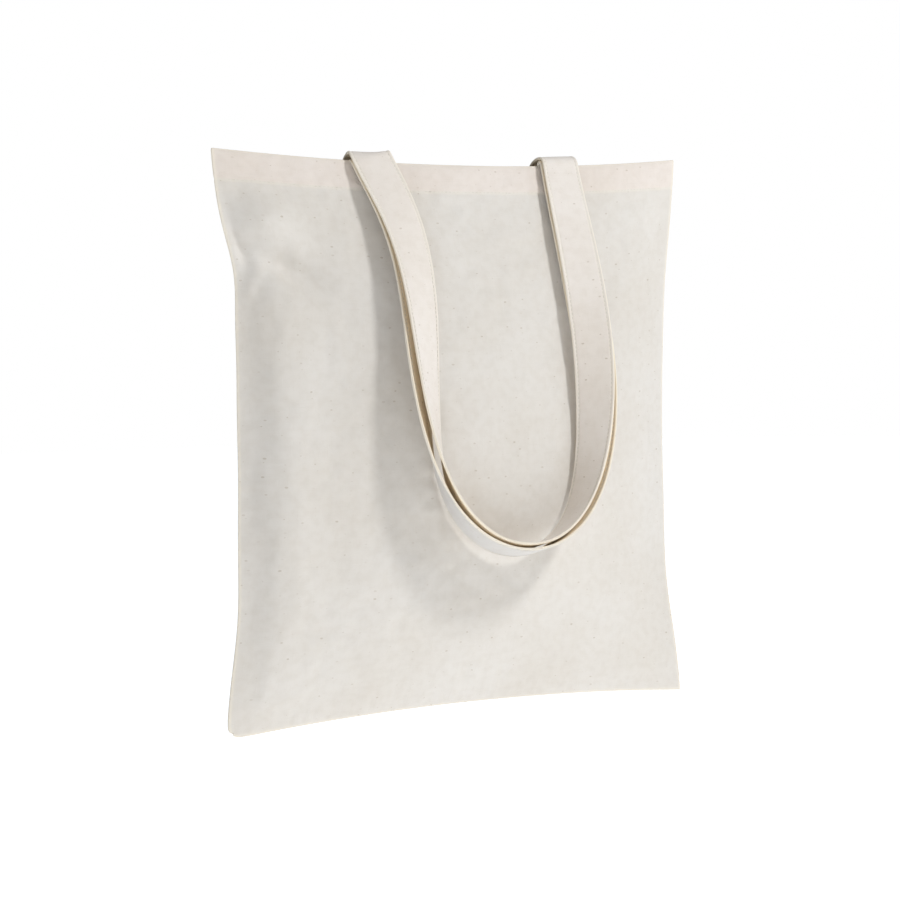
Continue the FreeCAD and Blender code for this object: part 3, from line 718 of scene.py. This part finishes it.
def canvas(name, *tones, edge, pitch=0.52 * MM):
    """Plain-weave cotton: uneven yarns, slubs, seed flecks, soft stains and worn edges. tones are the
    colours where the mesh's tone is 0, 1 and 2 (on the handles 0 and 2 are painted shade and painted warm
    bounce light), edge the colour where it is worn, pitch the yarns'."""
    material = bpy.data.materials.new(name)
    material.use_nodes = True
    n = Nodes(material)
    at = n.attribute("cloth_at").outputs["Vector"]
    wear = n.attribute("wear").outputs["Fac"]
    tone = n.attribute("tone").outputs["Fac"]

    drift = n.noise(at, 90, 2.0)
    bent = n.add("ShaderNodeVectorMath", {0: n.add("ShaderNodeCombineXYZ", {0: drift, 1: drift}),
                                          1: (0.0009, 0.0009, 0)}, operation="MULTIPLY")
    moved = n.add("ShaderNodeVectorMath", {0: at, 1: bent}, operation="ADD")
    parts = n.add("ShaderNodeSeparateXYZ", {0: moved})
    turns = math.pi / pitch
    warp = n.math("MULTIPLY", parts.outputs[0], turns)
    weft = n.math("MULTIPLY", parts.outputs[1], turns)
    over = n.math("GREATER_THAN", n.math("MULTIPLY", n.math("SINE", warp), n.math("SINE", weft)), 0.0)
    ribs_a = n.math("ABSOLUTE", n.math("COSINE", n.math("ADD", warp, math.pi / 2)))
    ribs_b = n.math("ABSOLUTE", n.math("COSINE", n.math("ADD", weft, math.pi / 2)))
    weave = n.add("ShaderNodeMix", data_type="FLOAT")
    for socket, value in ((0, over), (2, ribs_a), (3, ribs_b)):
        n.feed(weave.inputs[socket], value)
    weave = weave.outputs[0]

    yarn_down = n.noise(at, 1, 3.0, stretch=(1500, 45, 900), rough=0.6)
    yarn_across = n.noise(at, 1, 3.0, stretch=(45, 1500, 900), rough=0.6)
    slub = n.math("ADD", n.between(yarn_down, 0.60, 0.80), n.between(yarn_across, 0.60, 0.80))
    thin = n.math("ADD", n.between(yarn_down, 0.42, 0.24), n.between(yarn_across, 0.42, 0.24))
    cloud = n.noise(at, 14, 3.0)
    blotch = n.noise(at, 160, 3.0)

    streaked = n.add("ShaderNodeVectorMath", {0: moved, 1: (0.55, 1.0, 1.0)}, operation="MULTIPLY")
    cell = n.add("ShaderNodeTexVoronoi", {"Vector": streaked, "Scale": 150.0, "Randomness": 1.0},
                 feature="F1", voronoi_dimensions="2D")
    chance = n.add("ShaderNodeSeparateXYZ", {0: cell.outputs["Color"]})
    width = n.math("MULTIPLY_ADD", n.math("POWER", chance.outputs[1], 2.0), 0.070, 0.030)
    fleck = n.math("MULTIPLY", n.math("LESS_THAN", cell.outputs["Distance"], width),
                   n.math("GREATER_THAN", chance.outputs[0], 0.50))

    base = (*tones[0], 1)
    for level, colour in enumerate(tones[1:]):
        base = n.mix(n.between(tone, level, level + 1.0), base, (*colour, 1))
    for strength, by, colour, blend in (
            (n.between(cloud, 0.3, 0.7), 0.34, STAIN, "MULTIPLY"),
            (n.between(blotch, 0.35, 0.75), 0.20, SPOT, "MULTIPLY"),
            (slub, 0.22, THICK_YARN, "MIX"),
            (thin, 0.20, THIN_YARN, "MIX"),
            (n.math("SUBTRACT", 1.0, weave), 0.16, BETWEEN_YARNS, "MIX"),
            (wear, n.between(blotch, 0.2, 0.8, 0.45, 0.9), (*edge, 1), "MIX"),
            (fleck, n.math("MULTIPLY", chance.outputs[2], 0.40), SEED_FLECK, "MIX")):
        base = n.mix(n.math("MULTIPLY", strength, by), base, colour, blend)

    height = n.math("MULTIPLY_ADD", weave, 0.55, n.math("MULTIPLY", slub, 0.9))
    height = n.math("MULTIPLY_ADD", n.noise(at, 900, 2.0), 0.5, height)
    fine = n.add("ShaderNodeBump", {"Strength": 0.55, "Distance": 0.00010, "Height": height})
    soft = n.add("ShaderNodeBump", {"Strength": 0.35, "Distance": 0.0008, "Height": n.noise(at, 30, 2.0),
                                    "Normal": fine})
    roughness = n.between(n.math("MULTIPLY_ADD", wear, 0.3, n.math("MULTIPLY_ADD", slub, -0.25, blotch)),
                          0.0, 1.0, 0.80, 0.97)
    shader = n.add("ShaderNodeBsdfPrincipled",
                   {"Base Color": base, "Roughness": roughness, "Normal": soft})
    shader.inputs["Specular IOR Level"].default_value = 0.25
    shader.inputs["Sheen Weight"].default_value = 0.12
    shader.inputs["Sheen Roughness"].default_value = 0.6
    n.add("ShaderNodeOutputMaterial", {"Surface": shader})
    return material


def thread_material(name, colour):
    """Twisted cotton thread."""
    material = bpy.data.materials.new(name)
    material.use_nodes = True
    n = Nodes(material)
    at = n.attribute("cloth_at").outputs["Vector"]
    parts = n.add("ShaderNodeSeparateXYZ", {0: at})
    twist = n.math("SINE", n.math("ADD", n.math("MULTIPLY", parts.outputs[0], 9000.0),
                                  n.math("MULTIPLY", parts.outputs[1], 9000.0)))
    shade = n.noise(at, 700, 2.0)
    base = n.mix(n.between(shade, 0.3, 0.7), (*colour, 1), tuple(0.86 * c for c in colour) + (1,))
    base = n.mix(n.between(twist, -1.0, 0.2, 0.35, 0.0), base, THREAD_SHADE)
    ply = n.add("ShaderNodeBump", {"Strength": 0.6, "Distance": 0.00012, "Height": twist})
    shader = n.add("ShaderNodeBsdfPrincipled", {"Base Color": base, "Normal": ply,
                                                "Roughness": n.between(shade, 0.2, 0.8, 0.62, 0.8)})
    shader.inputs["Sheen Weight"].default_value = 0.2
    n.add("ShaderNodeOutputMaterial", {"Surface": shader})
    return material


# ---------------------------------------------------------------- making everything

front_grid, back_grid = hang_panels()
front = Panel("front", front_grid, -1)
back = Panel("back", back_grid, 1)

BODY = (0.785, 0.742, 0.684)
BAND = (0.840, 0.760, 0.692)                         # the panel over its turned hem
EDGE = (0.920, 0.840, 0.700)
WEB = (0.880, 0.812, 0.742)
WEB_PAINTED_SHADE = (0.680, 0.655, 0.625)                    # painted shade: the front handle's face against the bag, greyed as if in shadow
WEB_PAINTED_BOUNCE = (0.990, 0.850, 0.640)                   # painted shade and warm bounce light: the faces between the two handles, tinted tan
body_canvas = canvas("unbleached_canvas", BODY, BAND, edge=EDGE)
# The handle canvas's tones: 0 is painted shade, 1 the handle's own colour, 2 painted shade with warm
# bounce light.
web_canvas = canvas("folded_canvas", WEB_PAINTED_SHADE, WEB, WEB_PAINTED_BOUNCE, edge=EDGE, pitch=0.48 * MM)
seam_thread = thread_material("cotton_thread", (0.80, 0.74, 0.64))


def finish_piece(piece, body, slot, material, *nodes):
    """Gives a piece its material, hides the CAD nodes it replaces and attaches it to its body; slot is
    not used, and a piece given no body is left unattached.
    """
    piece.data.materials.append(material)
    if nodes:
        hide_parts(*nodes)
    if body:
        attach(piece, body)
    return piece


# Each handle: its body, where the blend to that body starts and ends, and make_web's hidden, shown
# and phase; hidden and shown pick the faces painted with shade and warm bounce light.
HANDLES = {"front": ("front_loop", (0, -0.016, 0), (0, -0.0239, 0.0008), (1, 0, 16)),
           "back": ("back_loop", (0, 0.0015, 0), (0, -0.010, 0), (-1, 1, 15))}

for panel in (front, back):
    side = panel.name
    cloth = make_panel(panel)
    finish_piece(cloth, "bag", "body_canvas", body_canvas, f"{side}_panel")
    hem = make_hem(panel)
    finish_piece(hem, "bag", "hem_and_handle_canvas", body_canvas, f"{side}_hem")

    end = PANEL_W / 2 - HEM_INSET
    inside_end = end - 12 * MM
    rows = [surface_row(panel, (-end, HEM_STITCH), (end, HEM_STITCH), None, 1),
            surface_row(panel, (-inside_end, HEM_STITCH), (inside_end, HEM_STITCH), -0.42 * MM, -1)]
    hem_thread = stitches(f"{side}_hem_stitches", rows)
    finish_piece(hem_thread, "bag", "thread", seam_thread, f"{side}_hem_stitching")

    on_tab = -HEM_INSIDE - 2 * WEB_HALF * 0.97
    for sign, place in ((-1, "left"), (1, "right")):
        rows = box_rows(panel, sign, on_tab, -1) + box_rows(panel, sign, None, 1)
        thread = stitches(f"{side}_box_stitches_{place}", rows)
        finish_piece(thread, "bag", "thread", seam_thread, f"{side}_box_stitch_{place}")

    loop, start, stop, faces = HANDLES[side]
    frames = web_frames(panel, side == "back")
    web = make_web(f"{side}_handle_web", frames, *faces)
    finish_piece(web, None, "hem_and_handle_canvas", web_canvas,
                 f"{side}_handle", f"{side}_handle_tab_left", f"{side}_handle_tab_right")
    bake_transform(web)
    edging = web_stitches(f"{side}_handle_stitches", frames)
    finish_piece(edging, None, "thread", seam_thread, f"{side}_handle_edge_stitching")
    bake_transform(edging)


def sew_seam(name, edge, inward, waves):
    """A seam's raw edges inside the bag, with their overlock."""
    seam, raw = make_seam(name, edge, inward, waves)
    finish_piece(seam, "bag", "body_canvas", body_canvas, f"{name}_seam_allowance")
    thread = overlock(f"{name}_overlock", raw, inward)
    finish_piece(thread, "bag", "thread", seam_thread, f"{name}_seam_stitching")


SIDE_END = 5                         # grid rows that a side seam ends above the foot
FOOT_END, FOOT_INSET = 7, 14 * MM    # the bottom seam ends inside the sides: grid columns, distance
below_hem = front.v > HEM_DEPTH + 1.5 * MM
for side, column, sign in (("left", 0, -1), ("right", -1, 1)):
    edge, front_way, back_way = (grid[below_hem][:-SIDE_END, column]
                                 for grid in (front.points, front.along_u, back.along_u))
    sew_seam(side, edge, unit(-sign * (front_way + back_way)), sign)

foot, front_way, back_way = (grid[-1, FOOT_END:-FOOT_END]
                             for grid in (front.points, front.along_v, back.along_v))
sew_seam("bottom", foot, unit(-(front_way + back_way)), 2.0)


# ---------------------------------------------------------------- floor, light and camera

DAYLIGHT = (0.945, 0.97, 1.0)
FLOOR_RADIUS, FLOOR_BELOW = 7.0, 0.16                # metres; the bag hangs above the floor
FLOOR_GLOW = 0.84
FILL, BACKGROUND = 0.32, 1.0                         # the world's strength as light, and as seen


def make_floor():
    """A pale round floor that glows enough to look white."""
    turn = np.linspace(0, 2 * math.pi, 97)[:-1]
    ring = np.stack([np.cos(turn), np.sin(turn), 0 * turn], -1) * FLOOR_RADIUS
    floor = new_piece("floor", ring, [list(range(len(turn)))])
    floor.location.z = cad_box[0][2] - FLOOR_BELOW
    material = bpy.data.materials.new("pale_floor")
    material.use_nodes = True
    n = Nodes(material)
    place = n.add("ShaderNodeTexCoord").outputs["Object"]
    mottle = n.between(n.noise(place, 3, 3.0), 0.3, 0.7)
    colour = n.mix(mottle, (0.70, 0.70, 0.70, 1), (0.72, 0.72, 0.72, 1))
    shader = n.add("ShaderNodeBsdfPrincipled", {"Base Color": colour})
    shader.inputs["Roughness"].default_value = 0.9
    shader.inputs["Emission Color"].default_value = (0.955, 0.975, 1.0, 1)
    shader.inputs["Emission Strength"].default_value = FLOOR_GLOW
    n.add("ShaderNodeOutputMaterial", {"Surface": shader})
    floor.data.materials.append(material)


def make_light(name, place, aim, size, power, colour):
    """A round soft light; size in metres, power in watts."""
    data = bpy.data.lights.new(name, "AREA")
    data.shape = "DISK"
    data.size = size
    data.energy = power
    data.color = colour
    light = bpy.data.objects.new(name, data)
    light.location = place
    light.rotation_mode = "QUATERNION"
    light.rotation_quaternion = (Vector(aim) - Vector(place)).to_track_quat("-Z", "Y")
    bpy.context.scene.collection.objects.link(light)


def make_world():
    """White where the camera sees it, and a faint cool light elsewhere."""
    world = bpy.data.worlds.new("studio")
    bpy.context.scene.world = world
    world.use_nodes = True
    n = Nodes(world)
    seen = n.add("ShaderNodeBackground", {"Color": (1, 1, 1, 1), "Strength": BACKGROUND})
    fill = n.add("ShaderNodeBackground", {"Color": (*DAYLIGHT, 1), "Strength": FILL})
    direct = n.add("ShaderNodeLightPath").outputs["Is Camera Ray"]
    mixed = n.add("ShaderNodeMixShader", {0: direct, 1: fill, 2: seen})
    n.add("ShaderNodeOutputWorld", {"Surface": mixed})


def make_camera():
    """The photograph's camera, fitted to the panel's four corners."""
    azimuth, elevation, roll = (math.radians(a) for a in (-25.26, 3.226, -1.14))
    target, distance = Vector((-9.112, 0.0, -219.70)) * MM, 1422.1 * MM
    back = Vector((math.sin(azimuth) * math.cos(elevation), -math.cos(azimuth) * math.cos(elevation),
                   math.sin(elevation)))
    right = (-back).cross(Vector((0, 0, 1))).normalized()
    upward = right.cross(-back)
    turned = right * math.cos(roll) + upward * math.sin(roll)
    upward = upward * math.cos(roll) - right * math.sin(roll)
    data = bpy.data.cameras.new("camera")
    data.sensor_width = 36
    data.lens = 76.118
    data.clip_start, data.clip_end = 0.01, 50
    camera = bpy.data.objects.new("camera", data)
    rotation = Matrix((turned, upward, back)).transposed()
    camera.matrix_world = Matrix.Translation(target + back * distance) @ rotation.to_4x4()
    bpy.context.scene.collection.objects.link(camera)
    bpy.context.scene.camera = camera


make_floor()
make_light("key", place=(0.95, -1.93, 1.84), aim=(0.0, -0.03, -0.22), size=0.40, power=43,
           colour=DAYLIGHT)
make_world()
make_camera()
bpy.context.scene.view_settings.view_transform = "Standard"
